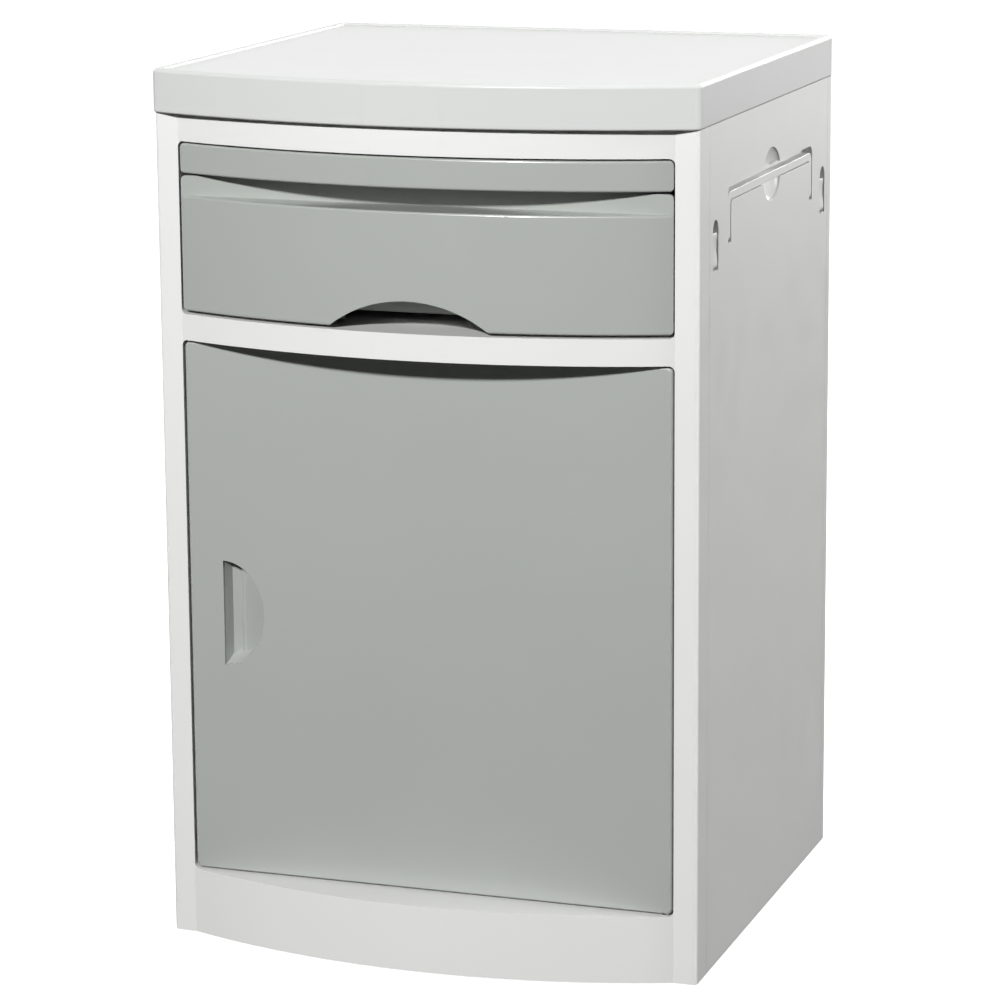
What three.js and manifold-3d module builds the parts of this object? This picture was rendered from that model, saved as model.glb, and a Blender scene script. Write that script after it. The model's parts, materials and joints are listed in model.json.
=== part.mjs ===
// Hospital bedside cabinet in moulded ABS: a body with a bowed front, a tray top, a pull-out dining
// board, a drawer, a locker with a shelf and a hinged door, and towel rails and hooks that fold out
// of both sides. Millimetres, +Z up, front towards -Y, origin on the floor under the outline's middle.
import * as THREE from 'three';
import { mergeVertices } from 'three/addons/utils/BufferGeometryUtils.js';
import Module from 'manifold-3d';

const wasm = await Module();
wasm.setup();

// ---------------------------------------------------------------- driving dimensions
const WIDTH = 480, DEPTH = 480, HEIGHT = 760;
const WALL = 3;                 // moulded wall
const GAP = 0.3;                // between pieces that touch
const REVEAL = 1.5;             // round the door, drawer and board

const TOP_BOW = 46;             // how far the top's front edge stands out in the middle
const FACE_BOW = 40;            // the same for the rails, board and drawer
const BODY_HALF = WIDTH / 2 - 1.5;
const OPENING_HALF = 218;       // half of the openings between the stiles
const Y_TOP_CORNER = -DEPTH / 2 + TOP_BOW;
const Y_FACE = Y_TOP_CORNER + 2;        // flat face of the stiles and of the door
const Y_BACK = DEPTH / 2 - 2;
const FRAME_RETURN = 30;        // depth of the front frame's sides
const BACK_RETURN = 12;         // depth of the back panel's sides
const PANEL = 12;               // side panel with its ribs

const Z_BODY = 2;               // the glides hold the body this far off the floor
const Z_APRON = 60;
const Z_MID_RAIL = [529.5, 552];
const Z_DRAWER = [554.8, 670];
const Z_STEP = 653;             // the drawer front is bowed below this and flat above it
const Z_BOARD = [672, 697.5];
const Z_TOP_RAIL = 699.2;
const Z_SKIRT = 723;
const Z_BODY_TOP = Z_SKIRT - GAP;
const RIM_WIDTH = 9, RIM_HEIGHT = 2;

const BOW_STEPS = 24;           // straight pieces in a bowed edge
const CORNER_STEPS = 4;
const ROUND_STEPS = 16;
const ARCH_STEPS = 16;

// ---------------------------------------------------------------- materials
const plastic = (color, roughness) => new THREE.MeshStandardMaterial({ color, roughness, metalness: 0 });
const WHITE = plastic(0xe9eae8, 0.38);
const TOP_GREY = plastic(0xdcdddc, 0.25);
const GREY = plastic(0xaeb3ae, 0.35);
const INNER = plastic(0xe2e3e1, 0.5);
const NYLON = plastic(0xd6d6d2, 0.55);
const BLACK = plastic(0x222322, 0.7);
const STEEL = new THREE.MeshStandardMaterial({ color: 0xb9bbbd, roughness: 0.3, metalness: 1 });

// ---------------------------------------------------------------- solids
function solidOf(geometry) {
  for (const name of Object.keys(geometry.attributes)) {
    if (name !== 'position') geometry.deleteAttribute(name);
  }
  const merged = mergeVertices(geometry, 1e-4);
  return new wasm.Manifold(new wasm.Mesh({
    numProp: 3,
    vertProperties: merged.attributes.position.array,
    triVerts: new Uint32Array(merged.index.array),
  }));
}

function geometryOf(solid) {
  const { numProp, vertProperties, triVerts } = solid.getMesh();
  const positions = new Float32Array((vertProperties.length / numProp) * 3);
  for (let i = 0; i * numProp < vertProperties.length; i++) {
    positions.set(vertProperties.subarray(i * numProp, i * numProp + 3), i * 3);
  }
  const geometry = new THREE.BufferGeometry();
  geometry.setAttribute('position', new THREE.BufferAttribute(positions, 3));
  geometry.setIndex(new THREE.BufferAttribute(triVerts, 1));
  geometry.computeVertexNormals();
  return geometry;
}

const join = (first, ...rest) => rest.reduce((all, next) => all.add(next), first);
const cut = (first, ...tools) => tools.reduce((left, tool) => left.subtract(tool), first);

function box([x0, x1], [y0, y1], [z0, z1]) {
  const geometry = new THREE.BoxGeometry(x1 - x0, y1 - y0, z1 - z0);
  geometry.translate((x0 + x1) / 2, (y0 + y1) / 2, (z0 + z1) / 2);
  return solidOf(geometry);
}

// A prism of an outline in the XY, YZ or XZ plane, from low to high along the third axis.
function prism(plane, points, low, high) {
  const settings = { depth: high - low, bevelEnabled: false };
  const geometry = new THREE.ExtrudeGeometry(new THREE.Shape(points), settings);
  const [x, y, z] = [new THREE.Vector3(1, 0, 0), new THREE.Vector3(0, 1, 0), new THREE.Vector3(0, 0, 1)];
  const turned = new THREE.Matrix4();
  if (plane === 'XY') turned.setPosition(0, 0, low);
  if (plane === 'YZ') turned.makeBasis(y, z, x).setPosition(low, 0, 0);
  if (plane === 'XZ') turned.makeBasis(x, z, y.negate()).setPosition(0, high, 0);
  geometry.applyMatrix4(turned);
  return solidOf(geometry);
}

// A cylinder along an axis, its middle at a point.
function rod(axis, middle, radius, length, steps = ROUND_STEPS) {
  const geometry = new THREE.CylinderGeometry(radius, radius, length, steps);
  if (axis === 'z') geometry.rotateX(Math.PI / 2);
  if (axis === 'x') geometry.rotateZ(Math.PI / 2);
  geometry.translate(...middle);
  return solidOf(geometry);
}

// ---------------------------------------------------------------- outlines
function arc(cx, cy, radius, from, to, steps) {
  return Array.from({ length: steps + 1 }, (_, i) => {
    const angle = from + ((to - from) * i) / steps;
    return new THREE.Vector2(cx + radius * Math.cos(angle), cy + radius * Math.sin(angle));
  });
}

function roundedRectangle([x0, x1], [y0, y1], r, steps = CORNER_STEPS) {
  const q = Math.PI / 2;
  return [
    ...arc(x0 + r, y0 + r, r, 2 * q, 3 * q, steps),
    ...arc(x1 - r, y0 + r, r, 3 * q, 4 * q, steps),
    ...arc(x1 - r, y1 - r, r, 0, q, steps),
    ...arc(x0 + r, y1 - r, r, q, 2 * q, steps),
  ];
}

// The bowed edge from left to right: an arc through (-half, y), (0, y - bow) and (half, y), moved
// back by inset, and cut off where it meets the line y + flatInset.
function bowed(half, y, bow, inset = 0, flatInset = 0) {
  const radius = (half * half + bow * bow) / (2 * bow);
  const cy = y - bow + radius;
  const r = radius - inset;
  const end = Math.asin((cy - y - flatInset) / r);
  return arc(0, cy, r, -Math.PI + end, -end, BOW_STEPS);
}

// Plan of everything behind the front face: flat stiles with the bow between them.
function facePlan(half, y, yBack, inset, corner) {
  const q = Math.PI / 2;
  const side = half - inset;
  const front = y + inset;
  return [
    new THREE.Vector2(-side, yBack),
    ...arc(-side + corner, front + corner, corner, 2 * q, 3 * q, CORNER_STEPS),
    ...bowed(OPENING_HALF, y, FACE_BOW, inset, inset),
    ...arc(side - corner, front + corner, corner, -q, 0, CORNER_STEPS),
    new THREE.Vector2(side, yBack),
  ];
}

// ---------------------------------------------------------------- scene graph
const cabinet = new THREE.Group();
cabinet.name = 'bedside_cabinet';

function group(x = 0, y = 0, z = 0, turn = 0) {
  const made = new THREE.Group();
  made.position.set(x, y, z);
  made.rotation.z = turn;
  cabinet.add(made);
  return made;
}

function piece(parent, name, solid, material, position = [0, 0, 0]) {
  const mesh = new THREE.Mesh(geometryOf(solid), material.clone());
  mesh.name = name;
  mesh.position.set(...position);
  parent.add(mesh);
}

// ---------------------------------------------------------------- carcass
const carcass = group();
const Y_RETURN = Y_FACE + FRAME_RETURN;             // back edge of the front frame
const Y_INNER_BACK = Y_BACK - BACK_RETURN;          // front edge of the back panel's sides
const PANEL_INSIDE = BODY_HALF - PANEL;             // inner face of the side panels
const HINGE = { x: OPENING_HALF - REVEAL - 6, y: Y_FACE + 6 };
const PIN_RADIUS = 2.5, BUSH_RADIUS = 5;

// One moulding: two stiles, a top rail, a middle rail and an apron, hollow towards the back.
function frontFrame() {
  const block = prism('XY', facePlan(BODY_HALF, Y_FACE, Y_RETURN, 0, 3), Z_BODY, Z_BODY_TOP);
  const hole = (z) => prism('XZ', roundedRectangle([-OPENING_HALF, OPENING_HALF], z, 5), -DEPTH, 0);
  const hollowPlan = facePlan(BODY_HALF, Y_FACE, Y_RETURN + 1, WALL, 1);
  const railHollow = ([z0, z1]) => prism('XY', hollowPlan, z0 + WALL, z1 - WALL);
  const stileHollow = (x) => box(x, [Y_FACE + WALL, Y_RETURN + 1], [Z_BODY + WALL, Z_BODY_TOP - WALL]);
  const bushHole = (z) => rod('z', [HINGE.x, HINGE.y, z], BUSH_RADIUS + GAP, 2 * WALL + 4);
  return cut(
    block,
    hole([Z_APRON, Z_MID_RAIL[0]]),
    hole([Z_MID_RAIL[1], Z_TOP_RAIL]),
    railHollow([Z_BODY, Z_APRON]),
    railHollow(Z_MID_RAIL),
    railHollow([Z_TOP_RAIL, Z_BODY_TOP]),
    stileHollow([OPENING_HALF + WALL, BODY_HALF - WALL]),
    stileHollow([-BODY_HALF + WALL, -OPENING_HALF - WALL]),
    bushHole(Z_APRON - WALL / 2),
    bushHole(Z_MID_RAIL[0] + WALL / 2),
  );
}

// A skin at the back with a short side wall on each edge.
function backPanel() {
  const shell = box([-BODY_HALF, BODY_HALF], [Y_INNER_BACK, Y_BACK], [Z_BODY, Z_BODY_TOP]);
  const hollow = box([-BODY_HALF + WALL, BODY_HALF - WALL], [Y_INNER_BACK - 1, Y_BACK - WALL], [0, HEIGHT]);
  const grooves = [200, 380, 560].map((z) => box([-190, 190], [Y_BACK - 1.2, Y_BACK + 1], [z, z + 14]));
  const holes = [-BACK_SCREW_X, BACK_SCREW_X].flatMap(
    (x) => BACK_SCREWS.map(([, z]) => screwHole(x, Y_BACK, z)),
  );
  return cut(shell, hollow, ...grooves, ...holes);
}

// A pan-head screw whose head sits on a wall facing +Y, its origin on that face, and the hole for it.
const SCREW = { shank: 1.5, head: 3.4, headHeight: 1.4 };
function screw(length) {
  return solidOf(new THREE.LatheGeometry([
    new THREE.Vector2(0, -length),
    new THREE.Vector2(SCREW.shank, -length),
    new THREE.Vector2(SCREW.shank, GAP),
    new THREE.Vector2(SCREW.head, GAP),
    new THREE.Vector2(SCREW.head - 0.8, GAP + SCREW.headHeight),
    new THREE.Vector2(0, GAP + SCREW.headHeight),
  ], 12));
}
const screwHole = (x, y, z) => rod('y', [x, y, z], SCREW.shank + GAP, 40, 12);
const BACK_SCREWS = [['low', 60], ['mid', 361], ['high', 662]];
const BACK_SCREW_X = BODY_HALF - PANEL / 2;

// A horizontal board: a skin with a rim round its underside and ribs across it.
function ribbedBoard([x0, x1], [y0, y1], zTop, height, ribs) {
  const block = box([x0, x1], [y0, y1], [zTop - height, zTop]);
  const step = (x1 - x0 - WALL) / (ribs + 1);
  const bays = Array.from({ length: ribs + 1 }, (_, i) => box(
    [x0 + WALL + i * step, x0 + (i + 1) * step],
    [y0 + WALL, y1 - WALL],
    [zTop - height - 1, zTop - WALL],
  ));
  return cut(block, ...bays);
}

const INSIDE_X = [-PANEL_INSIDE + GAP, PANEL_INSIDE - GAP];
const INSIDE_Y = [Y_RETURN + GAP, Y_BACK - WALL - GAP];
const BASE_HEIGHT = 22, DIVIDER_TOP = Z_MID_RAIL[1] - 3, DIVIDER_HEIGHT = 16;
const SHELF_TOP = 302, SHELF_HEIGHT = 10, PEG_RADIUS = 4, PEG_LENGTH = 14;

piece(carcass, 'front_frame', frontFrame(), WHITE);
piece(carcass, 'back_panel', backPanel(), WHITE);
piece(carcass, 'base_panel', ribbedBoard(INSIDE_X, INSIDE_Y, Z_APRON, BASE_HEIGHT, 3), INNER);
piece(carcass, 'divider_panel', ribbedBoard(INSIDE_X, INSIDE_Y, DIVIDER_TOP, DIVIDER_HEIGHT, 3), INNER);
piece(carcass, 'locker_shelf', ribbedBoard(
  [INSIDE_X[0] + 1, INSIDE_X[1] - 1], [INSIDE_Y[0] + 30, INSIDE_Y[1] - 2], SHELF_TOP, SHELF_HEIGHT, 3,
), INNER);

// Pegs under the shelf, plugged into the side panels.
for (const [side, sign] of [['left', -1], ['right', 1]]) {
  for (const [end, y] of [['front', INSIDE_Y[0] + 60], ['rear', INSIDE_Y[1] - 50]]) {
    const x = sign * (PANEL_INSIDE - GAP - PEG_LENGTH / 2);
    const peg = rod('x', [0, 0, 0], PEG_RADIUS, PEG_LENGTH, 12);
    piece(carcass, `shelf_peg_${side}_${end}`, peg, NYLON,
      [x, y, SHELF_TOP - SHELF_HEIGHT - PEG_RADIUS - GAP]);
  }
}

// Feet: a moulded block under each corner of the base, with a round glide that meets the floor.
const FOOT = { half: 17, glide: 13, glideHeight: 5, inset: 22 };
function foot() {
  const block = box([-FOOT.half, FOOT.half], [-FOOT.half, FOOT.half],
    [FOOT.glideHeight, Z_APRON - BASE_HEIGHT - GAP]);
  return join(block, rod('z', [0, 0, FOOT.glideHeight / 2 + 0.5], FOOT.glide, FOOT.glideHeight + 1, 20));
}
for (const [side, sign] of [['left', -1], ['right', 1]]) {
  for (const [end, y] of [['front', INSIDE_Y[0] + FOOT.inset], ['rear', INSIDE_Y[1] - FOOT.inset]]) {
    piece(carcass, `foot_${side}_${end}`, foot(), BLACK, [sign * (PANEL_INSIDE - FOOT.inset), y, 0]);
  }
}

// Bushes for the door pins, and the magnet catch under the middle rail.
function bush() {
  const collar = rod('z', [0, 0, 0], BUSH_RADIUS, WALL + 2);
  return cut(collar, rod('z', [0, 0, 0], PIN_RADIUS + GAP, 20));
}
piece(carcass, 'hinge_bush_lower', bush(), NYLON, [HINGE.x, HINGE.y, Z_APRON - WALL / 2 - 1]);
piece(carcass, 'hinge_bush_upper', bush(), NYLON, [HINGE.x, HINGE.y, Z_MID_RAIL[0] + WALL / 2 + 1]);

const DOOR_THICK = 20;
const Y_DOOR_BACK = Y_FACE + 0.5 + DOOR_THICK;
const CATCH = { x: -168, half: 19, z: [Z_MID_RAIL[0] - 13.5, Z_MID_RAIL[0] - GAP] };
function magnetCatch() {
  const body = box([-CATCH.half, CATCH.half], [2, 15], CATCH.z);
  const face = box([-CATCH.half + 5, CATCH.half - 5], [0.6, 3], [CATCH.z[0] + 2.5, CATCH.z[1] - 2.5]);
  return join(body, face);
}
piece(carcass, 'magnet_catch', magnetCatch(), WHITE, [CATCH.x, Y_DOOR_BACK + 1.5, 0]);

// ---------------------------------------------------------------- tray top
// A skirted shell: a floor with a raised rim all round, stiffened from below by three ribs.
function trayTop() {
  const half = WIDTH / 2;
  const outline = (inset) => [
    new THREE.Vector2(-half + inset, DEPTH / 2 - inset),
    new THREE.Vector2(-half + inset, Y_TOP_CORNER + inset),
    ...bowed(half, Y_TOP_CORNER, TOP_BOW, inset, inset)
      .filter((point) => Math.abs(point.x) < half - inset - 1),
    new THREE.Vector2(half - inset, Y_TOP_CORNER + inset),
    new THREE.Vector2(half - inset, DEPTH / 2 - inset),
  ];
  const floor = HEIGHT - RIM_HEIGHT;
  const block = prism('XY', outline(0), Z_SKIRT, HEIGHT);
  const tray = prism('XY', outline(RIM_WIDTH), floor, HEIGHT + 1);
  const under = prism('XY', outline(WALL + 2), Z_SKIRT - 1, floor - WALL);
  const shell = cut(block, tray, under);
  const ribY = [Y_TOP_CORNER + 3, DEPTH / 2 - 3];
  const rib = (x) => box([x - WALL / 2, x + WALL / 2], ribY, [Z_SKIRT + 16, floor - 1]);
  return join(shell, rib(-120), rib(0), rib(120));
}
piece(carcass, 'tray_top', trayTop(), TOP_GREY);

// ---------------------------------------------------------------- runners
const BOARD_HALF = OPENING_HALF - 2;
const BOARD = { z: [678, 692], back: 190, frontGap: 4 };
const RIB = { z: [600, 606], half: OPENING_HALF - 2 };
const DRAWER_HALF = 198;
const RUNNER_BACK = 205;

// A C channel on the side panel, open towards the middle.
function runner(sign, [z0, z1], depth, lip) {
  const across = (from, to) => [sign * from, sign * to].sort((p, q) => p - q);
  const wide = across(PANEL_INSIDE - depth, PANEL_INSIDE - GAP);
  const bar = box(wide, [Y_RETURN + 1, RUNNER_BACK], [z0 - lip, z1 + lip]);
  const mouth = across(PANEL_INSIDE - depth - 1, BOARD_HALF + 1);
  return cut(bar, box(mouth, [Y_RETURN, RUNNER_BACK - 6], [z0 - 2 * GAP, z1 + 2 * GAP]));
}
for (const [side, sign] of [['left', -1], ['right', 1]]) {
  piece(carcass, `board_runner_${side}`, runner(sign, BOARD.z, 22, 4), NYLON);
  piece(carcass, `drawer_runner_${side}`, runner(sign, RIB.z, 24, 5), NYLON);
}

// ---------------------------------------------------------------- pull-out dining board
// The rounded corners that the board front and the drawer front show from the front.
function faceOutline(half, z) {
  return prism('XZ', roundedRectangle([-half, half], z, 4), -DEPTH, DEPTH);
}

const dining = group();
function boardPanel() {
  const y = [Y_FACE + BOARD.frontGap, BOARD.back];
  const block = box([-BOARD_HALF, BOARD_HALF], y, BOARD.z);
  const bays = [-1, 0, 1].map((i) => box(
    [i * 136 - 66, i * 136 + 66], [y[0] + 6, y[1] - 6], [BOARD.z[0] - 1, BOARD.z[1] - WALL],
  ));
  return cut(block, ...bays);
}
function boardFront() {
  const half = OPENING_HALF - REVEAL;
  const plan = [
    new THREE.Vector2(-half, Y_FACE + BOARD.frontGap - GAP),
    ...bowed(half, Y_FACE + 1, FACE_BOW),
    new THREE.Vector2(half, Y_FACE + BOARD.frontGap - GAP),
  ];
  const hollow = bowed(half - WALL, Y_FACE + 1, FACE_BOW - WALL);
  const bar = prism('XY', plan, ...Z_BOARD).intersect(faceOutline(half, Z_BOARD));
  return cut(bar, prism('XY', hollow, Z_BOARD[0] - 1, Z_BOARD[1] - WALL));
}
piece(dining, 'dining_board', boardPanel(), INNER);
piece(dining, 'dining_board_front', boardFront(), GREY);

// ---------------------------------------------------------------- drawer
const drawer = group();
const GRIP = { half: 70, height: 24 };
const NOTCH = 8;                // in the plate's lower edge behind the arch
const DRAWER_BACK = 186;

// Bowed below the step, flat above it, with an arched finger opening in its lower edge.
function drawerFront() {
  const half = OPENING_HALF - REVEAL;
  const face = Y_FACE + 1;
  const back = face + WALL;
  const plate = box([-half, half], [face, back], Z_DRAWER);
  const bowPlan = [
    new THREE.Vector2(-half, back),
    ...bowed(half, face, FACE_BOW),
    new THREE.Vector2(half, back),
  ];
  const bow = prism('XY', bowPlan, Z_DRAWER[0], Z_STEP);
  const inner = bowed(half - WALL, face, FACE_BOW - WALL);
  const hollow = prism('XY', inner, Z_DRAWER[0] + WALL, Z_STEP - WALL);
  const wellZ = [Z_DRAWER[0] - 1, Z_DRAWER[0] + WALL + 1];
  const well = box([-GRIP.half - 4, GRIP.half + 4], [-DEPTH, face], wellZ);
  const archRadius = (GRIP.half ** 2 + GRIP.height ** 2) / (2 * GRIP.height);
  const archTop = Z_DRAWER[0] + GRIP.height;
  const spread = Math.asin((GRIP.half + 1) / archRadius);
  const q = Math.PI / 2;
  const arch = [
    ...arc(0, archTop - archRadius, archRadius, q - spread, q + spread, ARCH_STEPS),
    new THREE.Vector2(-GRIP.half - 1, Z_DRAWER[0] - 2),
    new THREE.Vector2(GRIP.half + 1, Z_DRAWER[0] - 2),
  ];
  const fingerWell = prism('XY', inner, ...wellZ).intersect(well);
  const opening = prism('XZ', arch, -DEPTH, face - WALL - 1);
  const notch = box([-GRIP.half, GRIP.half], [face - 1, back + 1], [wellZ[0], Z_DRAWER[0] + NOTCH]);
  return cut(join(plate, bow).intersect(faceOutline(half, Z_DRAWER)), hollow, fingerWell, opening, notch);
}

function drawerBox() {
  const y = [Y_FACE + 1 + WALL + GAP, DRAWER_BACK];
  const z = [563, 648];
  const block = box([-DRAWER_HALF, DRAWER_HALF], y, z);
  const ribs = box([-RIB.half, RIB.half], [y[0] + 2, y[1]], RIB.z);
  const inside = box(
    [-DRAWER_HALF + WALL, DRAWER_HALF - WALL],
    [y[0] + WALL, y[1] - WALL],
    [z[0] + WALL, z[1] + 1],
  );
  return cut(join(block, ribs), inside);
}

const SCREW_X = 120, SCREW_Z = 606;
const Y_SCREW = Y_FACE + 1 + WALL + GAP + WALL;     // inner face of the drawer box's front wall
piece(drawer, 'drawer_front', drawerFront(), GREY);
piece(drawer, 'drawer_box', cut(
  drawerBox(),
  screwHole(-SCREW_X, Y_SCREW, SCREW_Z),
  screwHole(SCREW_X, Y_SCREW, SCREW_Z),
), INNER);
piece(drawer, 'drawer_screw_left', screw(2.6), STEEL, [-SCREW_X, Y_SCREW, SCREW_Z]);
piece(drawer, 'drawer_screw_right', screw(2.6), STEEL, [SCREW_X, Y_SCREW, SCREW_Z]);

// ---------------------------------------------------------------- door
// The group's origin is on the hinge axis.
const door = group(HINGE.x, HINGE.y, 0);
const DOOR = {
  x: [-OPENING_HALF + REVEAL - HINGE.x, OPENING_HALF - REVEAL - HINGE.x],
  y: [Y_FACE + 0.5 - HINGE.y, Y_DOOR_BACK - HINGE.y],
  z: [Z_APRON + REVEAL, Z_MID_RAIL[0] - REVEAL],
};
const PULL = { x: -185.3 - HINGE.x, z: 292.5, width: 37, half: 46, depth: 17.5 };
const BOSS = { size: 13, height: 26 };

// The pull's outline: a straight grip edge on the left and half an ellipse on the right.
function pullOutline(grow) {
  const points = Array.from({ length: 13 }, (_, i) => {
    const angle = -Math.PI / 2 + (Math.PI * i) / 12;
    return new THREE.Vector2(PULL.x + (PULL.width + grow) * Math.cos(angle),
      PULL.z + (PULL.half + grow) * Math.sin(angle));
  });
  return [new THREE.Vector2(PULL.x - grow, PULL.z - PULL.half - grow), ...points,
    new THREE.Vector2(PULL.x - grow, PULL.z + PULL.half + grow)];
}

function doorPanel() {
  const [x0, x1] = DOOR.x;
  const [y0, y1] = DOOR.y;
  const q = Math.PI / 2;
  const edge = 4;
  const plan = [
    new THREE.Vector2(x0, y1),
    ...arc(x0 + 2, y0 + 2, 2, 2 * q, 3 * q, 3),
    ...arc(x1 - edge, y0 + edge, edge, -q, 0, 6),
    new THREE.Vector2(x1, y1),
  ];
  const face = prism('XZ', roundedRectangle(DOOR.x, DOOR.z, 5), y0 - 1, y1 + 1);
  const block = prism('XY', plan, ...DOOR.z).intersect(face);
  const hollow = box([x0 + WALL, x1 - WALL], [y0 + WALL, y1 + 1], [DOOR.z[0] + WALL, DOOR.z[1] - WALL]);
  const boss = ([z0, z1]) => box([x1 - BOSS.size, x1 - 1], [y0 + 1.5, y0 + BOSS.size], [z0, z1]);
  const shell = join(
    cut(block, hollow),
    boss([DOOR.z[0] + 1, DOOR.z[0] + BOSS.height]),
    boss([DOOR.z[1] - BOSS.height, DOOR.z[1] - 1]),
  );
  const pinHole = (z) => rod('z', [0, 0, z], PIN_RADIUS + GAP, 2 * (BOSS.height - 4));
  const pullHole = prism('XZ', pullOutline(0), y0 - 1, y0 + WALL + 1);
  return cut(shell, pinHole(DOOR.z[0]), pinHole(DOOR.z[1]), pullHole);
}

// A cup behind the D opening: a deep slot under the grip edge, a flat land, then a ramp up to the curve.
function pullCup() {
  const [y0] = DOOR.y;
  const front = y0 + WALL + GAP;
  const back = y0 + PULL.depth;
  const block = prism('XZ', pullOutline(2.5), front, back);
  const slot = 12, land = 19, landDepth = 13;
  const plan = [
    new THREE.Vector2(PULL.x, front - 1),
    new THREE.Vector2(PULL.x, back - 2),
    new THREE.Vector2(PULL.x + slot, back - 2),
    new THREE.Vector2(PULL.x + slot, y0 + landDepth),
    new THREE.Vector2(PULL.x + land, y0 + landDepth),
    new THREE.Vector2(PULL.x + PULL.width, front),
    new THREE.Vector2(PULL.x + PULL.width, front - 1),
  ].reverse();
  const hollow = prism('XY', plan, PULL.z - PULL.half, PULL.z + PULL.half);
  return cut(block, hollow.intersect(prism('XZ', pullOutline(0), front - 1, back + 1)));
}

function doorLiner() {
  const x = [DOOR.x[0] + WALL + GAP, DOOR.x[1] - WALL - GAP];
  const z = [DOOR.z[0] + WALL + GAP, DOOR.z[1] - WALL - GAP];
  const sheet = box(x, [DOOR.y[1] - 2.5, DOOR.y[1]], z);
  const dish = box([x[0] + 22, x[1] - 22], [DOOR.y[1] - 1, DOOR.y[1] + 1], [z[0] + 22, z[1] - 22]);
  return cut(sheet, dish);
}

function pin() {
  return rod('z', [0, 0, 0], PIN_RADIUS, BOSS.height - 2);
}

piece(door, 'door_panel', doorPanel(), GREY);
piece(door, 'door_liner', doorLiner(), INNER);
piece(door, 'door_pull_cup', pullCup(), GREY);
piece(door, 'hinge_pin_lower', pin(), STEEL, [0, 0, DOOR.z[0] + BOSS.height / 2 - 6]);
piece(door, 'hinge_pin_upper', pin(), STEEL, [0, 0, DOOR.z[1] - BOSS.height / 2 + 6]);
piece(door, 'strike_plate', box(
  [CATCH.x - 17 - HINGE.x, CATCH.x + 17 - HINGE.x],
  [DOOR.y[1] + GAP, DOOR.y[1] + 1.5],
  [CATCH.z[0] + 1, DOOR.z[1] - 1.5],
), STEEL);

// ---------------------------------------------------------------- sides
// Each side is drawn with its outer face at x = 0 and its middle at y = 0. The left one is turned round.
const SIDE_Y = (Y_RETURN + Y_INNER_BACK) / 2;
const SIDE_HALF = (Y_INNER_BACK - Y_RETURN) / 2 - GAP;
const RAIL = { half: 138, leg: 8, bar: 7, top: 661.5, pivot: 624, thick: 8, trunnion: 2 };
const HOOK = { y: 176, half: 7, top: 633, pivot: 606.5, thick: 8, slotHalf: 8.2, slotTop: 644 };
const PIVOT_X = -4.3;           // both pivots lie this far behind the outer face
const CLEAR = 0.8;              // round a rail or a hook in its recess
const HEADROOM = 6;             // above the rail's bar

// The rail in its recess plane: an upside-down U, its legs ending at the pivot.
function railOutline(grow, headroom) {
  const out = RAIL.half + grow;
  const low = RAIL.pivot;
  const inner = RAIL.half - RAIL.leg - grow;
  const under = RAIL.top - RAIL.bar - grow;
  const q = Math.PI / 2;
  const top = RAIL.top + headroom;
  return [
    new THREE.Vector2(-out, low),
    new THREE.Vector2(-inner, low),
    ...arc(-inner + 3, under - 3, 3, 2 * q, q, CORNER_STEPS),
    ...arc(inner - 3, under - 3, 3, q, 0, CORNER_STEPS),
    new THREE.Vector2(inner, low),
    new THREE.Vector2(out, low),
    ...arc(out - 8, top - 8, 8, 0, q, CORNER_STEPS),
    ...arc(-out + 8, top - 8, 8, q, 2 * q, CORNER_STEPS),
  ];
}

function towelRail() {
  const flat = prism('YZ', railOutline(0, 0), PIVOT_X - RAIL.thick / 2, PIVOT_X + RAIL.thick / 2);
  const legs = [-1, 1].map((s) => s * (RAIL.half - RAIL.leg / 2));
  const ends = legs.map((y) => rod('y', [PIVOT_X, y, RAIL.pivot], RAIL.thick / 2, RAIL.leg));
  const trunnion = (s) => rod('y', [PIVOT_X, s * (RAIL.half + 1), RAIL.pivot], RAIL.trunnion, 6, 12);
  return join(flat, ...ends, trunnion(-1), trunnion(1));
}

// A tongue with a shallow hollow in its face and a lip at its tip.
function hook() {
  const x = (depth) => PIVOT_X + HOOK.thick / 2 - depth;
  const profile = [
    [x(0), HOOK.pivot], [x(0.3), HOOK.pivot + 5], [x(1), HOOK.pivot + 12], [x(0.9), HOOK.top - 7],
    [x(0.2), HOOK.top - 2], [x(0.8), HOOK.top], [x(4.5), HOOK.top - 1], [x(5.8), HOOK.top - 8],
    [x(6.4), HOOK.pivot + 10], [x(8), HOOK.pivot],
  ].map(([px, pz]) => new THREE.Vector2(px, pz));
  const tongue = prism('XZ', profile, -HOOK.half, HOOK.half);
  const root = rod('y', [PIVOT_X, 0, HOOK.pivot], HOOK.thick / 2, 2 * HOOK.half);
  return join(tongue, root, rod('y', [PIVOT_X, 0, HOOK.pivot], 1.8, 2 * (HOOK.slotHalf + 2), 12));
}

function ellipsoid([x, y, z], [rx, ry, rz]) {
  const geometry = new THREE.SphereGeometry(1, 20, 12);
  geometry.scale(rx, ry, rz);
  geometry.translate(x, y, z);
  return solidOf(geometry);
}

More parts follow.
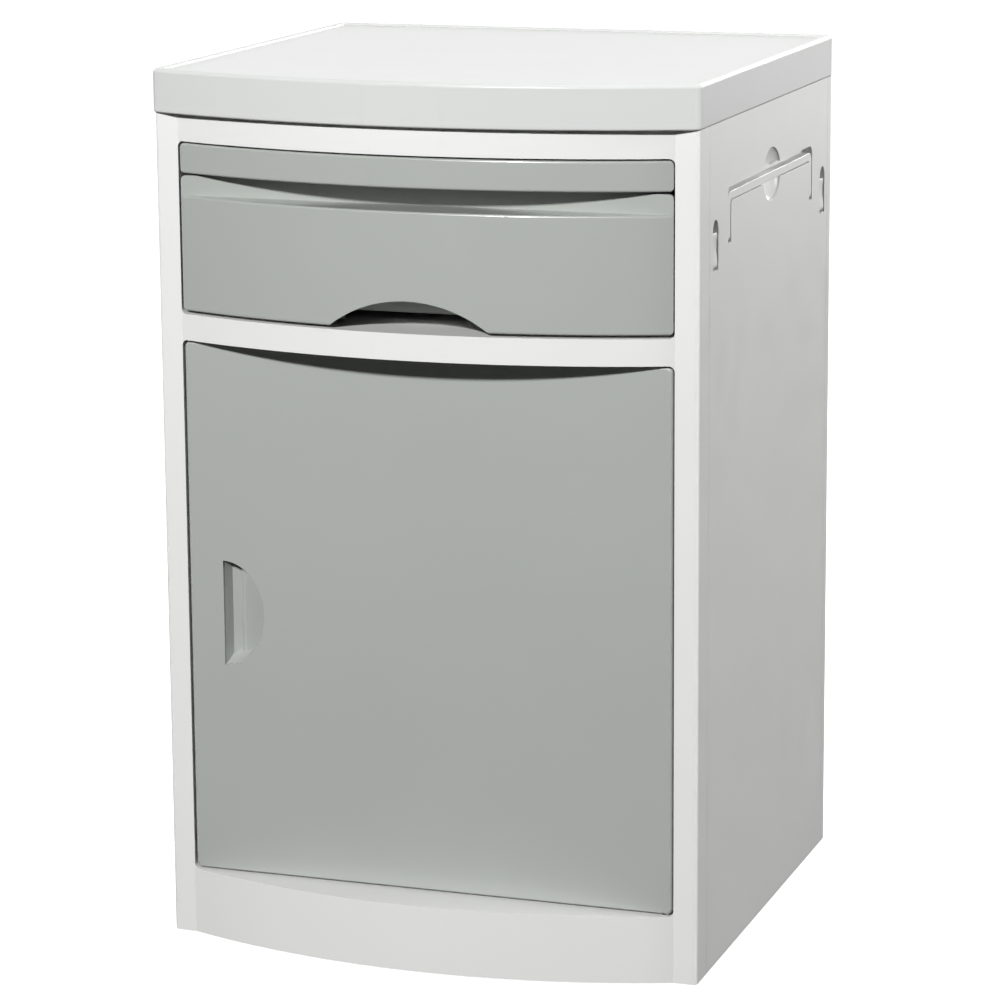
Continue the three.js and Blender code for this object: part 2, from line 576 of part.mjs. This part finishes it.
// The skin, a rim round its inner side, two ribs, and blocks that hold the rail's and the hooks' recesses.
function sidePanel(sign) {
  const z = [Z_BODY, Z_BODY_TOP];
  const deep = [-PANEL, 0];
  const block = box(deep, [-SIDE_HALF, SIDE_HALF], z);
  const bay = (z0, z1) => box([-PANEL - 1, -WALL], [-SIDE_HALF + WALL, SIDE_HALF - WALL], [z0, z1]);
  const zRail = [HOOK.pivot - 12, 686];
  const shell = cut(
    block,
    bay(z[0] + WALL, 200),
    bay(200 + WALL, 400),
    bay(400 + WALL, zRail[0]),
    bay(zRail[1], z[1] - WALL),
  );
  const railPocket = join(
    prism('YZ', railOutline(CLEAR, HEADROOM), PIVOT_X - RAIL.thick / 2 - CLEAR, 1),
    ...[-1, 1].map((s) => {
      const y = s * (RAIL.half - RAIL.leg / 2);
      const half = RAIL.leg / 2 + CLEAR;
      const reach = RAIL.thick / 2 + CLEAR;
      return join(
        rod('y', [PIVOT_X, y, RAIL.pivot], reach, 2 * half, 20),
        box([PIVOT_X, 1], [y - half, y + half], [RAIL.pivot - reach, RAIL.pivot + 1]),
        rod('y', [PIVOT_X, s * (RAIL.half + 1), RAIL.pivot], RAIL.trunnion + 0.4, 7, 12),
      );
    }),
  );
  const scoop = ellipsoid([0.5, 0, 659.5], [9, 29, 23.5]);
  const hookPockets = [-1, 1].map((s) => {
    const y = [s * HOOK.y - HOOK.slotHalf, s * HOOK.y + HOOK.slotHalf];
    const low = HOOK.pivot - HOOK.thick / 2 - CLEAR;
    const r = HOOK.slotHalf - 0.01;
    const outline = [
      new THREE.Vector2(y[0], low), new THREE.Vector2(y[1], low),
      ...arc(s * HOOK.y, HOOK.slotTop - r, r, 0, Math.PI, 10),
    ];
    return join(
      prism('YZ', outline, PIVOT_X - HOOK.thick / 2 - CLEAR, 1),
      rod('y', [PIVOT_X, s * HOOK.y, HOOK.pivot], 1.8 + 0.4, 2 * (HOOK.slotHalf + 3), 12),
    );
  });
  const screwHoles = BACK_SCREWS.map(([, height]) => screwHole(-PANEL / 2, sign * SIDE_HALF, height));
  return cut(shell, railPocket, scoop, ...hookPockets, ...screwHoles);
}

for (const [side, sign] of [['left', -1], ['right', 1]]) {
  const flank = group(sign * BODY_HALF, SIDE_Y, 0, sign < 0 ? Math.PI : 0);
  piece(flank, `side_panel_${side}`, sidePanel(sign), WHITE);
  piece(flank, `towel_rail_${side}`, towelRail(), WHITE);
  piece(flank, `hook_${side}_front`, hook(), WHITE, [0, -sign * HOOK.y, 0]);
  piece(flank, `hook_${side}_rear`, hook(), WHITE, [0, sign * HOOK.y, 0]);
}

// Screws through the back panel into the side panels' rear edges.
for (const [side, sign] of [['left', -1], ['right', 1]]) {
  for (const [level, z] of BACK_SCREWS) {
    piece(carcass, `back_screw_${side}_${level}`, screw(16), STEEL, [sign * BACK_SCREW_X, Y_BACK, z]);
  }
}

export default cabinet;
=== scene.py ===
"""A moulded hospital bedside cabinet in a plain studio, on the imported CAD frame.

Lengths are in metres, and the front faces -Y.
"""
import json
import math

import bmesh
import bpy
from mathutils import Matrix, Vector


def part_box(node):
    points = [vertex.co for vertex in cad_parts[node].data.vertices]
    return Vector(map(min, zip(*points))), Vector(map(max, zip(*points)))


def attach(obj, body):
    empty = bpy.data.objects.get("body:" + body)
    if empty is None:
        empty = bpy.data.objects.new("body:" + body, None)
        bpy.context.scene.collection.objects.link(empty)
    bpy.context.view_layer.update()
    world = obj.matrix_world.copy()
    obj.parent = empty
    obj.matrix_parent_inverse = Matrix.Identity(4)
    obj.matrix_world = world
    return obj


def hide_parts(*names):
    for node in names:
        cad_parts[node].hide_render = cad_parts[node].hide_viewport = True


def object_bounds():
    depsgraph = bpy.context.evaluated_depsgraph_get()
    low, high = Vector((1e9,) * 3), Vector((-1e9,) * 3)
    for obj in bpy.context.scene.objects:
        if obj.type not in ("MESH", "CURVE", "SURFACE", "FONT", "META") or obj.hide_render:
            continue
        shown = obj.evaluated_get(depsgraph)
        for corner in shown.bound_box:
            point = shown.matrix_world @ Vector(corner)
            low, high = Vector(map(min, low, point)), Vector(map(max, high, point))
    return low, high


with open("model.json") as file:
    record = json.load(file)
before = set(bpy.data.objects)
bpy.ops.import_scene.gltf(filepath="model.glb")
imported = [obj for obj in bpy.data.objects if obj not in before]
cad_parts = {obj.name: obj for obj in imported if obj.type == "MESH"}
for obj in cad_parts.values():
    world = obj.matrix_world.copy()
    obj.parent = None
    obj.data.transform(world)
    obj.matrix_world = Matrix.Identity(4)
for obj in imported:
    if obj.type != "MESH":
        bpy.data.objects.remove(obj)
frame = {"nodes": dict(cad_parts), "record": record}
cad_low, cad_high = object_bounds()

MM = 0.001
PAST = 1 * MM                   # how far a cutting tool reaches past the face it cuts
FIT = 0.3 * MM                  # clearance round a pin or a bush
MERGE = 0.002 * MM              # points of a new mesh closer than this are one
NEAR = 0.01 * MM                # closer than this is the same place
LEVEL = math.radians(0.1)       # faces that differ by less are one flat face


# ---------------------------------------------------------------- materials
RELIEF_DEPTH = 0.05 * MM


def shader(name, roughness, metallic=0.0, specular=0.5, coat=0.0):
    """A material with its Principled shader and an Object coordinate to drive its detail."""
    material = bpy.data.materials.new(name)
    material.use_nodes = True
    surface = material.node_tree.nodes["Principled BSDF"]
    surface.inputs["Roughness"].default_value = roughness
    surface.inputs["Metallic"].default_value = metallic
    surface.inputs["Specular IOR Level"].default_value = specular
    surface.inputs["Coat Weight"].default_value = coat
    surface.inputs["Coat Roughness"].default_value = 0.12
    place = material.node_tree.nodes.new("ShaderNodeTexCoord")
    return material, surface, place.outputs["Object"]


def noise(material, place, size, detail):
    """Noise whose blobs are about size metres across."""
    node = material.node_tree.nodes.new("ShaderNodeTexNoise")
    node.inputs["Scale"].default_value = 1 / size
    node.inputs["Detail"].default_value = detail
    material.node_tree.links.new(place, node.inputs["Vector"])
    return node.outputs["Fac"]


def spread(material, value, low, high):
    """The middle of a noise's range, 0.3 to 0.7, mapped to low..high."""
    node = material.node_tree.nodes.new("ShaderNodeMapRange")
    node.inputs["From Min"].default_value = 0.3
    node.inputs["From Max"].default_value = 0.7
    node.inputs["To Min"].default_value = low
    node.inputs["To Max"].default_value = high
    material.node_tree.links.new(value, node.inputs["Value"])
    return node.outputs["Result"]


def blend(material, value, first, second):
    """A colour between two, by value."""
    node = material.node_tree.nodes.new("ShaderNodeMix")
    node.data_type = "RGBA"
    colours = [socket for socket in node.inputs if socket.type == "RGBA"]
    colours[0].default_value = (*first, 1)
    colours[1].default_value = (*second, 1)
    material.node_tree.links.new(value, node.inputs["Factor"])
    return next(socket for socket in node.outputs if socket.type == "RGBA")


def bump(material, surface, heights, strength):
    """Fine relief on the shader's normal."""
    node = material.node_tree.nodes.new("ShaderNodeBump")
    node.inputs["Strength"].default_value = strength
    node.inputs["Distance"].default_value = RELIEF_DEPTH
    material.node_tree.links.new(heights, node.inputs["Height"])
    material.node_tree.links.new(node.outputs["Normal"], surface.inputs["Normal"])


def moulded_plastic(
    name, colour, roughness, grain=0.9 * MM, relief=0.25, wander=0.02, patches=0.12, coat=0.0, specular=0.5
):
    """Moulded ABS: a slow drift in tone, patches more and less polished, and a fine cast grain."""
    material, surface, place = shader(name, roughness, coat=coat, specular=specular)
    links = material.node_tree.links
    drift = noise(material, place, 180 * MM, 1)
    darker = [channel * (1 - wander) for channel in colour]
    lighter = [channel * (1 + wander) for channel in colour]
    tint = blend(material, drift, darker, lighter)
    links.new(tint, surface.inputs["Base Color"])
    handled = noise(material, place, 35 * MM, 4)
    polish = spread(material, handled, roughness * (1 - patches), roughness * (1 + patches))
    links.new(polish, surface.inputs["Roughness"])
    bump(material, surface, noise(material, place, grain, 3), relief)
    return material


def zinc_plate(name):
    """Zinc-plated steel with faint rolling marks."""
    material, surface, place = shader(name, 0.35, metallic=1.0)
    links = material.node_tree.links
    marks = noise(material, place, 2.5 * MM, 5)
    links.new(blend(material, marks, (0.48, 0.49, 0.50), (0.66, 0.67, 0.68)), surface.inputs["Base Color"])
    links.new(spread(material, marks, 0.26, 0.45), surface.inputs["Roughness"])
    bump(material, surface, marks, 0.2)
    return material


FINISHES = {
    "abs_white": moulded_plastic("white_abs", (0.80, 0.80, 0.79), 0.36),
    "abs_top": moulded_plastic(
        "tray_abs", (0.645, 0.655, 0.645), 0.3, grain=1.6 * MM, relief=0.02, patches=0.03, specular=0.25
    ),
    "abs_grey": moulded_plastic("grey_abs", (0.415, 0.435, 0.413), 0.32, relief=0.12, coat=0.5),
    "abs_inner": moulded_plastic("inner_abs", (0.76, 0.76, 0.75), 0.52, grain=0.6 * MM, relief=0.5),
    "nylon": moulded_plastic("natural_nylon", (0.70, 0.70, 0.66), 0.55, relief=0.4, wander=0.04),
    "foot_plastic": moulded_plastic("black_plastic", (0.035, 0.035, 0.035), 0.6, relief=0.6, wander=0.1),
    "steel": zinc_plate("zinc_plate"),
}


# ---------------------------------------------------------------- outlines
BOW_STEPS = 96
ARC_STEPS = 10                  # in a quarter circle
LEAST_CORNER = 0.5 * MM


def arc(centre, radius, start, end, steps=ARC_STEPS):
    """Points on an arc; start and end are in degrees."""
    angles = [math.radians(start + (end - start) * step / steps) for step in range(steps + 1)]
    return [(centre[0] + radius * math.cos(a), centre[1] + radius * math.sin(a)) for a in angles]


def rounded_rectangle(low, high, radius):
    """A rectangle with rounded corners, between two opposite corners."""
    (x0, y0), (x1, y1) = low, high
    return [
        *arc((x0 + radius, y0 + radius), radius, 180, 270),
        *arc((x1 - radius, y0 + radius), radius, 270, 360),
        *arc((x1 - radius, y1 - radius), radius, 0, 90),
        *arc((x0 + radius, y1 - radius), radius, 90, 180),
    ]


def bow_line(half, y, bow, inset=0.0):
    """The bowed edge, left to right, through (-half, y), (0, y - bow) and (half, y), set back by inset."""
    radius = (half**2 + bow**2) / (2 * bow)
    centre = y - bow + radius
    inner = radius - inset
    end = math.degrees(math.asin((centre - y - inset) / inner))
    return arc((0, centre), inner, -180 + end, -end, BOW_STEPS)


def bowed_plan(low, high, bow, corner, inset=0.0):
    """A plan with straight sides and back, a bowed front and rounded corners, drawn in by inset."""
    radius = (high.x**2 + bow**2) / (2 * bow)
    centre = low.y + radius
    rounding = max(corner - inset, LEAST_CORNER)
    x = high.x - inset - rounding
    y = centre - math.sqrt((radius - inset - rounding) ** 2 - x**2)
    back = high.y - inset - rounding
    end = math.degrees(math.atan2(y - centre, x))
    return [
        *arc((x, y), rounding, end, 0),
        *arc((x, back), rounding, 0, 90),
        *arc((-x, back), rounding, 90, 180),
        *arc((-x, y), rounding, 180, 180 - end),
        *arc((0, centre), radius - inset, 180 - end, 360 + end, BOW_STEPS),
    ]


# ---------------------------------------------------------------- solids
def link(mesh, name):
    """An object of a mesh, in the scene."""
    piece = bpy.data.objects.new(name, mesh)
    bpy.context.collection.objects.link(piece)
    return piece


def loft(sections):
    """A closed solid through outlines with the same number of points, capped at both ends."""
    count = len(sections[0])
    points = [point for section in sections for point in section]
    faces = [tuple(range(count)), tuple(range(len(points) - count, len(points)))]
    for start in range(0, len(points) - count, count):
        for i in range(count):
            j = (i + 1) % count
            faces.append((start + i, start + j, start + count + j, start + count + i))
    mesh = bpy.data.meshes.new("solid")
    mesh.from_pydata(points, [], faces)
    shape = bmesh.new()
    shape.from_mesh(mesh)
    bmesh.ops.remove_doubles(shape, verts=shape.verts, dist=MERGE)
    bmesh.ops.recalc_face_normals(shape, faces=shape.faces)
    shape.to_mesh(mesh)
    shape.free()
    return link(mesh, "solid")


def column(plan, low, high):
    """An upright prism of a plan, between two heights."""
    return loft([[(x, y, z) for x, y in plan] for z in (low, high)])


def plate(outline, front, back):
    """A prism of an outline seen from the front, between two depths."""
    return loft([[(x, y, z) for x, z in outline] for y in (front, back)])


def block(x, y, z):
    """A box from its low and high end on each axis."""
    return column([(x[0], y[0]), (x[1], y[0]), (x[1], y[1]), (x[0], y[1])], *z)


def rod(centre, radius, z):
    """An upright cylinder."""
    steps = 24
    return column(arc(centre, radius, 0, 360 - 360 / steps, steps - 1), *z)


def combine(piece, operation, *tools):
    """piece with the tools joined to it, cut from it, or keeping only what it shares with them."""
    for tool in tools:
        boolean = piece.modifiers.new("boolean", "BOOLEAN")
        boolean.operation = operation
        boolean.solver = "EXACT"
        boolean.object = tool
    mesh = bpy.data.meshes.new_from_object(piece.evaluated_get(bpy.context.evaluated_depsgraph_get()))
    shape = bmesh.new()
    shape.from_mesh(mesh)
    bmesh.ops.remove_doubles(shape, verts=shape.verts, dist=MERGE)
    bmesh.ops.dissolve_limit(shape, angle_limit=LEVEL, verts=shape.verts, edges=shape.edges)
    shape.to_mesh(mesh)
    shape.free()
    piece.modifiers.clear()
    piece.data = mesh
    for tool in tools:
        bpy.data.objects.remove(tool)
    return piece


def cut(piece, *tools):
    return combine(piece, "DIFFERENCE", *tools)


def join(piece, *tools):
    return combine(piece, "UNION", *tools)


def common(piece, *tools):
    return combine(piece, "INTERSECT", *tools)


def round_edges(piece, radius, chosen):
    """Rounds the edges whose two ends chosen() accepts."""
    shape = bmesh.new()
    shape.from_mesh(piece.data)
    edges = [edge for edge in shape.edges if chosen(edge.verts[0].co, edge.verts[1].co)]
    bmesh.ops.bevel(shape, geom=edges, offset=radius, segments=6, profile=0.5, affect="EDGES")
    shape.to_mesh(piece.data)
    shape.free()


# ---------------------------------------------------------------- finishing
SHARP = {"back_panel"}          # a large face with small holes, which shades badly once softened
bodies = {node: body for body, nodes in frame["record"]["behaviour"]["bodies"].items() for node in nodes}
slots = {part["node"]: part["material_slot"] for part in frame["record"]["subparts"]}


def soften(piece, radius, angle):
    """Small rounds on the edges sharper than angle, in degrees, and smooth shading between them."""
    rounding = piece.modifiers.new("rounding", "BEVEL")
    rounding.width = radius
    rounding.segments = 3
    rounding.limit_method = "ANGLE"
    rounding.angle_limit = math.radians(angle)
    rounding.miter_outer = "MITER_ARC"
    normals = piece.modifiers.new("normals", "WEIGHTED_NORMAL")
    normals.keep_sharp = True
    for face in piece.data.polygons:
        face.use_smooth = True


def stand_for(piece, node, radius):
    """piece takes the place of a CAD node, with its body and its finish."""
    piece.name = node + "_moulding"
    piece.data.name = piece.name
    soften(piece, radius, 15)
    piece.data.materials.append(FINISHES[slots[node]])
    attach(piece, bodies[node])
    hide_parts(node)


def keep_node(node):
    """A CAD node stays, with its finish and, unless it is sharp, with facets joined and edges softened."""
    piece = frame["nodes"][node]
    piece.data.materials.clear()
    piece.data.materials.append(FINISHES[slots[node]])
    if node in SHARP:
        return
    weld = piece.modifiers.new("weld", "WELD")
    weld.merge_threshold = NEAR
    flat = piece.modifiers.new("flat", "DECIMATE")
    flat.decimate_type = "DISSOLVE"
    flat.angle_limit = LEVEL
    soften(piece, 0.6 * MM, 28)


# ---------------------------------------------------------------- mouldings
WALL = 3 * MM
TOP_BOW = 46 * MM
FACE_BOW = 40 * MM
CORNER = 5 * MM                 # corners of the openings and of what fills them
STILE_CORNER = 3 * MM
REVEAL = 1.5 * MM

frame_low, frame_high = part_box("front_frame")
door_low, door_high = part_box("door_panel")
drawer_low, drawer_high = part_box("drawer_front")
board_low, board_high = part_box("dining_board_front")
opening_half = door_high.x + REVEAL
face_y = frame_low.y + FACE_BOW


def tray_top():
    """One skin: the underside, the skirt with a rounded shoulder, the low rim and a cove to the floor."""
    low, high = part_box("tray_top")
    corner, shoulder, crest, cove = 8 * MM, 3.5 * MM, 0.9 * MM, 1.0 * MM
    rim_width, rim_height, skirt_wall = 9 * MM, 2 * MM, 3.5 * MM
    floor = high.z - rim_height
    section = [
        (skirt_wall, floor - WALL),
        (skirt_wall, low.z + 0.6 * MM),
        *arc((skirt_wall / 2, low.z + skirt_wall / 2), skirt_wall / 2, 360, 180, 12),
        *arc((shoulder, high.z - shoulder), shoulder, 180, 90, 10),
        *arc((rim_width - crest, high.z - crest), crest, 90, 0, 5),
        *arc((rim_width + cove, floor + cove), cove, 180, 270, 5),
        (rim_width + 4 * MM, floor),
    ]
    levels = []
    for inset, z in section:
        levels.append([(x, y, z) for x, y in bowed_plan(low, high, TOP_BOW, corner, inset)])
    stand_for(loft(levels), "tray_top", 0.3 * MM)


def face_plan(inset, back_y):
    """Plan of the front frame: flat stiles with the bow between them."""
    side = frame_high.x - inset
    front = face_y + inset
    corner = max(STILE_CORNER - inset, LEAST_CORNER)
    return [
        (-side, back_y),
        *arc((-side + corner, front + corner), corner, 180, 270),
        *bow_line(opening_half, face_y, FACE_BOW, inset),
        *arc((side - corner, front + corner), corner, 270, 360),
        (side, back_y),
    ]


def bore_round(node, start, end):
    """A tool for the bore that holds an upright pin or bush, with clearance, between two heights."""
    low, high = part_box(node)
    centre = (low + high) / 2
    return rod(centre.xy, (high.x - low.x) / 2 + FIT, (start, end))


def front_frame():
    """A hollow moulding: three bowed rails between two stiles, with bores for the hinge bushes."""
    below_drawer, above_board = 2.8 * MM, 1.7 * MM
    rails = (
        (frame_low.z, door_low.z - REVEAL),
        (door_high.z + REVEAL, drawer_low.z - below_drawer),
        (board_high.z + above_board, frame_high.z),
    )
    behind = frame_high.y + PAST
    tools = []
    for below, above in zip(rails, rails[1:]):
        outline = rounded_rectangle((-opening_half, below[1]), (opening_half, above[0]), CORNER)
        tools.append(plate(outline, frame_low.y - PAST, behind))
    for low, high in rails:
        tools.append(column(face_plan(WALL, behind), low + WALL, high - WALL))
    for side in (-1, 1):
        x = sorted((side * (opening_half + WALL), side * (frame_high.x - WALL)))
        tools.append(block(x, (face_y + WALL, behind), (frame_low.z + WALL, frame_high.z - WALL)))
    for node in ("hinge_bush_lower", "hinge_bush_upper"):
        low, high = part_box(node)
        tools.append(bore_round(node, low.z - 2 * MM, high.z + 2 * MM))
    body = column(face_plan(0, frame_high.y), frame_low.z, frame_high.z)
    stand_for(cut(body, *tools), "front_frame", 1.2 * MM)


def bowed_front(low, high, back_y):
    """A bowed block with rounded upper and lower edges, its corners rounded as seen from the front."""
    edge = 2 * MM
    section = [
        *[(edge + y, low.z + edge + z) for y, z in arc((0, 0), edge, 270, 180, 6)],
        *[(edge + y, high.z - edge + z) for y, z in arc((0, 0), edge, 180, 90, 6)],
    ]
    levels = []
    for inset, z in section:
        line = bow_line(high.x, low.y + FACE_BOW, FACE_BOW, inset)
        levels.append([(x, y, z) for x, y in [(-high.x, back_y), *line, (high.x, back_y)]])
    face = rounded_rectangle((low.x, low.z), (high.x, high.z), CORNER - REVEAL / 2)
    return common(loft(levels), plate(face, low.y - PAST, back_y + PAST))


def bow_hollow(half, y, z):
    """A tool for the hollow behind a bowed front."""
    return column(bow_line(half - WALL, y, FACE_BOW - WALL), *z)


def dining_board_front():
    """The board's strip, open below for the fingers."""
    front = bowed_front(board_low, board_high, board_high.y)
    hollow = bow_hollow(board_high.x, board_low.y + FACE_BOW, (board_low.z - PAST, board_high.z - WALL))
    stand_for(cut(front, hollow), "dining_board_front", 0.8 * MM)


def drawer_front():
    """A bowed front up to the step, a flat strip above it, and an arched finger opening below."""
    bow_height, well_height, notch_height = 98.2 * MM, 4 * MM, 8 * MM
    grip_half, grip_height, well_half = 70 * MM, 24 * MM, 74 * MM
    step = drawer_low.z + bow_height
    face = drawer_low.y + FACE_BOW
    radius = (grip_half**2 + grip_height**2) / (2 * grip_height)
    arch_half = grip_half + PAST
    sweep = math.degrees(math.asin(arch_half / radius))
    top = drawer_low.z + grip_height
    arch = [
        *arc((0, top - radius), radius, 90 - sweep, 90 + sweep, 4 * ARC_STEPS),
        (-arch_half, drawer_low.z - 2 * PAST),
        (arch_half, drawer_low.z - 2 * PAST),
    ]
    bow = bowed_front(drawer_low, Vector((drawer_high.x, drawer_high.y, step)), drawer_high.y)
    corner = CORNER - REVEAL / 2
    outline = rounded_rectangle((drawer_low.x, drawer_low.z), (drawer_high.x, drawer_high.z), corner)
    front = join(bow, plate(outline, face, drawer_high.y))
    well_z = (drawer_low.z - PAST, drawer_low.z + well_height)
    well_box = block((-well_half, well_half), (drawer_low.y, face), well_z)
    well = common(bow_hollow(drawer_high.x, face, well_z), well_box)
    hollow = bow_hollow(drawer_high.x, face, (drawer_low.z + WALL, step - WALL))
    opening = plate(arch, drawer_low.y - PAST, face - WALL - PAST)
    notch = block(
        (-grip_half, grip_half),
        (face - PAST, drawer_high.y + PAST),
        (drawer_low.z - PAST, drawer_low.z + notch_height),
    )
    stand_for(cut(front, hollow, well, opening, notch), "drawer_front", 0.8 * MM)


# ---------------------------------------------------------------- door
cup_low, cup_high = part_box("door_pull_cup")
CUP_WALL = 2.5 * MM
grip_x = cup_low.x + CUP_WALL
pull_middle = (cup_low.z + cup_high.z) / 2
pull_half = (cup_high.z - cup_low.z) / 2 - CUP_WALL
pull_width = cup_high.x - CUP_WALL - grip_x


def pull_outline(draft=0.0, grow=0.0):
    """A straight grip edge on the left and half an ellipse on the right; draft raises its lower end."""
    middle, rise, reach = pull_middle + draft / 2, pull_half - draft / 2 + grow, pull_width + grow
    curve = [(grip_x + reach * x, middle + rise * z) for x, z in arc((0, 0), 1, -90, 90, 4 * ARC_STEPS)]
    if grow == 0:
        return curve
    return [(grip_x - grow, middle - rise), *curve, (grip_x - grow, middle + rise)]


def door_panel():
    """A shallow tray with the D opening, its front edge rounded, and bores for the hinge pins."""
    outline = rounded_rectangle((door_low.x, door_low.z), (door_high.x, door_high.z), CORNER)
    slab = plate(outline, door_low.y, door_high.y)
    round_edges(slab, 2.2 * MM, lambda a, b: max(a.y, b.y) < door_low.y + NEAR)
    hollow = block(
        (door_low.x + WALL, door_high.x - WALL),
        (door_low.y + WALL, door_high.y + PAST),
        (door_low.z + WALL, door_high.z - WALL),
    )
    tools = [hollow, plate(pull_outline(), door_low.y - PAST, door_low.y + 2 * WALL)]
    for node in ("hinge_pin_lower", "hinge_pin_upper"):
        low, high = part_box(node)
        tools.append(bore_round(node, low.z, high.z))
    stand_for(cut(slab, *tools), "door_panel", 1.1 * MM)


def door_pull_cup():
    """Behind the D opening: a deep slot under the grip edge, a rounded land and a ramp to the curve."""
    gap, floor = 0.02 * MM, 1.2 * MM
    front, back = door_low.y + WALL + gap, cup_high.y
    slot, land, land_depth, slope = 11 * MM, 17 * MM, 15 * MM, 0.7
    body = plate(pull_outline(grow=CUP_WALL), front, back)
    plan = [
        (grip_x, front - PAST),
        (grip_x, front),
        (grip_x + 3 * MM, back - 4 * MM),
        (grip_x + slot - 1.5 * MM, back - floor),
        (grip_x + slot, back - floor),
        *arc((grip_x + (slot + land) / 2, door_low.y + land_depth), (land - slot) / 2, 180, 315, 8),
        (grip_x + pull_width, front),
        (grip_x + pull_width, front - PAST),
    ]
    hollow = column(plan, cup_low.z, cup_high.z)
    levels = ((front - PAST, 0), (front, 0), (back, (back - front) * slope))
    drafted = loft([[(x, y, z) for x, z in pull_outline(draft)] for y, draft in levels])
    stand_for(cut(body, common(hollow, drafted)), "door_pull_cup", 0.5 * MM)


tray_top()
front_frame()
dining_board_front()
drawer_front()
door_panel()
door_pull_cup()
remade = {"tray_top", "front_frame", "dining_board_front", "drawer_front", "door_panel", "door_pull_cup"}
for node in sorted(set(slots) - remade):
    keep_node(node)


# ---------------------------------------------------------------- studio
def studio_surface(name, profile, glossy):
    """A pale sheet through the profile's (y, z) points, glowing enough to stay white."""
    half = 9.0
    points = [(x, y, z) for y, z in profile for x in (-half, half)]
    faces = [(2 * i, 2 * i + 1, 2 * i + 3, 2 * i + 2) for i in range(len(profile) - 1)]
    mesh = bpy.data.meshes.new(name)
    mesh.from_pydata(points, [], faces)
    for face in mesh.polygons:
        face.use_smooth = True
    sheet = link(mesh, name)
    material, surface, place = shader(name + "_paper", 0.9)
    fibres = noise(material, place, 4 * MM, 3)
    tint = blend(material, fibres, (0.93, 0.93, 0.93), (0.97, 0.97, 0.97))
    material.node_tree.links.new(tint, surface.inputs["Base Color"])
    surface.inputs["Emission Color"].default_value = (1, 1, 1, 1)
    surface.inputs["Emission Strength"].default_value = 1.0
    mesh.materials.append(material)
    sheet.visible_diffuse = False   # it doesn't light the object
    sheet.visible_glossy = glossy


def studio():
    """A flat floor, and behind it a backdrop that curves up, which the gloss of the object reflects."""
    bend, rise, front, back = 2.0, 7.0, -8.0, 7.0
    studio_surface("studio_floor", [(front, 0), (back - bend, 0)], glossy=False)
    curve = arc((back - bend, bend), bend, 270, 360, 16)
    studio_surface("studio_backdrop", [*curve, (back, rise)], glossy=True)


def area_light(name, place, target, size, power):
    """A round soft light at a place, facing a target."""
    light = bpy.data.lights.new(name, "AREA")
    light.shape = "DISK"
    light.size = size
    light.energy = power
    lamp = bpy.data.objects.new(name, light)
    lamp.location = place
    lamp.rotation_euler = (Vector(place) - Vector(target)).to_track_quat("Z", "Y").to_euler()
    bpy.context.collection.objects.link(lamp)


studio()
middle = (cad_low + cad_high) / 2
area_light("key", (-0.1, -4.0, 2.56), middle, 0.3, 208)
area_light("side", (3.6, 0.6, 1.9), middle, 1.2, 96)
area_light("other_side", (-3.6, 1.2, 1.9), middle, 1.4, 40)
area_light("top", (0.0, 0.9, 3.4), middle, 1.8, 22)
area_light("back", (0.6, 4.2, 1.5), middle, 1.5, 70)

world = bpy.data.worlds.new("studio")
world.use_nodes = True
world.node_tree.nodes["Background"].inputs["Color"].default_value = (1, 1, 1, 1)
world.node_tree.nodes["Background"].inputs["Strength"].default_value = 0.05
bpy.context.scene.world = world
bpy.context.scene.view_settings.view_transform = "Standard"


# ---------------------------------------------------------------- camera
def camera():
    """A long lens, from the right of the front and a little above the top."""
    place = Vector((1.0776, -3.1103, 1.0899))
    azimuth, elevation, roll = math.radians(19.1), math.radians(11.69), math.radians(-0.4)
    back = Vector((
        math.sin(azimuth) * math.cos(elevation),
        -math.cos(azimuth) * math.cos(elevation),
        math.sin(elevation),
    ))
    right = Vector((0, 0, 1)).cross(back).normalized()
    up = back.cross(right)
    turned_right = right * math.cos(roll) + up * math.sin(roll)
    turned_up = up * math.cos(roll) - right * math.sin(roll)
    turn = Matrix((turned_right, turned_up, back)).transposed()
    data = bpy.data.cameras.new("camera")
    data.lens = 136.7
    data.shift_y = -0.05
    view = bpy.data.objects.new("camera", data)
    view.matrix_world = Matrix.Translation(place) @ turn.to_4x4()
    bpy.context.collection.objects.link(view)
    bpy.context.scene.camera = view


camera()
